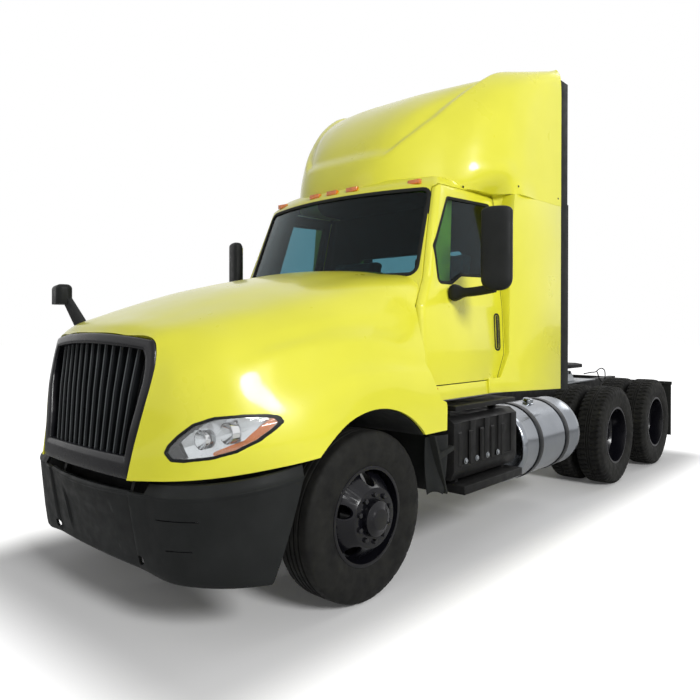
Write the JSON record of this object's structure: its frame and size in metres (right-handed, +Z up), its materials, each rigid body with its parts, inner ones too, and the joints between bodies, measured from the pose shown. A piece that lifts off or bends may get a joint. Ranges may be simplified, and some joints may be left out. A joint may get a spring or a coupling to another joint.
{
  "type": "semi truck tractor unit",
  "caption": "Bonneted day cab road tractor with roof fairing, side extenders, steered front axle, tandem driven axles and a fifth wheel.",
  "frame": {"origin": "on the ground under the middle of the truck's length and width", "axes": "+Z up, the nose towards -Y, the driver's left side towards +X"},
  "size_m": [3.1142, 7.2598, 3.9849],
  "materials": {
    "paint": "gloss",
    "trim_plastic": "moulded, slightly rough",
    "grille_plastic": "gloss",
    "tinted_glass": "tinted",
    "clear_lens": "clear lens over chrome",
    "amber_lens": "lens",
    "tyre_rubber": "moulded",
    "wheel_paint": "gloss",
    "frame_paint": "satin",
    "casting": "painted",
    "tank_metal": "polished",
    "strap_metal": "dark",
    "base_metal": "galvanised",
    "seal_rubber": "matte",
    "cabin_plastic": "grained",
    "seat_cloth": "woven"
  },
  "bodies": {
    "chassis": {"frame_rails": "frame_paint", "engine_block": "casting", "radiator": "frame_paint", "cab_shell": "paint", "cab_glass": "tinted_glass", "dashboard": "cabin_plastic", "seat_bases": "cabin_plastic", "seat_cushions": "seat_cloth", "roof_fairing": "paint", "side_extenders": "paint", "gap_seals": "seal_rubber", "marker_lamps": "amber_lens", "bumper": "trim_plastic", "step_boxes": "trim_plastic", "fuel_tanks": "tank_metal", "tank_straps": "strap_metal", "front_axle": "frame_paint", "drive_axles": "frame_paint", "fifth_wheel_base": "base_metal", "mudflaps": "seal_rubber"},
    "hood": {"hood_shell": "paint", "fender_liners": "trim_plastic", "grille_surround": "grille_plastic", "grille_bars": "grille_plastic", "headlamps": "clear_lens", "hood_mirror": "trim_plastic"},
    "fifth_wheel": {"fifth_wheel_plate": "casting"},
    "tie_rod": {"tie_rod": "frame_paint"},
    "door_left": {"door_left": "paint", "door_glass_left": "tinted_glass", "door_mirror_left": "trim_plastic"},
    "knuckle_left": {"knuckle_left": "frame_paint"},
    "front_wheel_left": {"tyre_front_left": "tyre_rubber", "rim_front_left": "wheel_paint"},
    "drive_wheel_1_left": {"tyres_drive_1_left": "tyre_rubber", "rims_drive_1_left": "wheel_paint"},
    "drive_wheel_2_left": {"tyres_drive_2_left": "tyre_rubber", "rims_drive_2_left": "wheel_paint"},
    "door_right": {"door_right": "paint", "door_glass_right": "tinted_glass", "door_mirror_right": "trim_plastic"},
    "knuckle_right": {"knuckle_right": "frame_paint"},
    "front_wheel_right": {"tyre_front_right": "tyre_rubber", "rim_front_right": "wheel_paint"},
    "drive_wheel_1_right": {"tyres_drive_1_right": "tyre_rubber", "rims_drive_1_right": "wheel_paint"},
    "drive_wheel_2_right": {"tyres_drive_2_right": "tyre_rubber", "rims_drive_2_right": "wheel_paint"}
  },
  "joints": [
    {"name": "hood_tilt", "type": "hinge", "parent": "chassis", "child": "hood", "pos_m": [0, -3.52, 0.7], "axis": [1, 0, 0], "range_deg": [0, 70]},
    {"name": "door_left_swing", "type": "hinge", "parent": "chassis", "child": "door_left", "pos_m": [1.123, -1.832, 1.6], "axis": [0, 0, -1], "range_deg": [0, 70]},
    {"name": "door_right_swing", "type": "hinge", "parent": "chassis", "child": "door_right", "pos_m": [-1.123, -1.832, 1.6], "axis": [0, 0, 1], "range_deg": [0, 70]},
    {"name": "fifth_wheel_rock", "type": "hinge", "parent": "chassis", "child": "fifth_wheel", "pos_m": [0, 2.17, 1.118], "axis": [1, 0, 0], "range_deg": [-12, 12]},
    {"name": "steer_left", "type": "hinge", "parent": "chassis", "child": "knuckle_left", "pos_m": [0.905, -2.39, 0.515], "axis": [0, 0, 1], "range_deg": [-35, 35]},
    {"name": "steer_right", "type": "hinge", "parent": "chassis", "child": "knuckle_right", "pos_m": [-0.905, -2.39, 0.515], "axis": [0, 0, 1], "range_deg": [-35, 35]},
    {"name": "tie_rod_swing", "type": "hinge", "parent": "knuckle_left", "child": "tie_rod", "pos_m": [0.905, -2.2, 0.379], "axis": [0, 0, 1], "range_deg": [-35, 35]},
    {"name": "front_spin_left", "type": "hinge", "parent": "knuckle_left", "child": "front_wheel_left", "pos_m": [1.018, -2.39, 0.515], "axis": [1, 0, 0], "continuous": true},
    {"name": "front_spin_right", "type": "hinge", "parent": "knuckle_right", "child": "front_wheel_right", "pos_m": [-1.018, -2.39, 0.515], "axis": [1, 0, 0], "continuous": true},
    {"name": "drive_spin_1_left", "type": "hinge", "parent": "chassis", "child": "drive_wheel_1_left", "pos_m": [0.8965, 1.59, 0.515], "axis": [1, 0, 0], "continuous": true},
    {"name": "drive_spin_1_right", "type": "hinge", "parent": "chassis", "child": "drive_wheel_1_right", "pos_m": [-0.8965, 1.59, 0.515], "axis": [1, 0, 0], "continuous": true},
    {"name": "drive_spin_2_left", "type": "hinge", "parent": "chassis", "child": "drive_wheel_2_left", "pos_m": [0.8965, 2.91, 0.515], "axis": [1, 0, 0], "continuous": true},
    {"name": "drive_spin_2_right", "type": "hinge", "parent": "chassis", "child": "drive_wheel_2_right", "pos_m": [-0.8965, 2.91, 0.515], "axis": [1, 0, 0], "continuous": true}
  ],
  "couplings": [
    {"joint": "steer_right", "follows": "steer_left", "ratio": 1},
    {"joint": "tie_rod_swing", "follows": "steer_left", "ratio": -1}
  ]
}
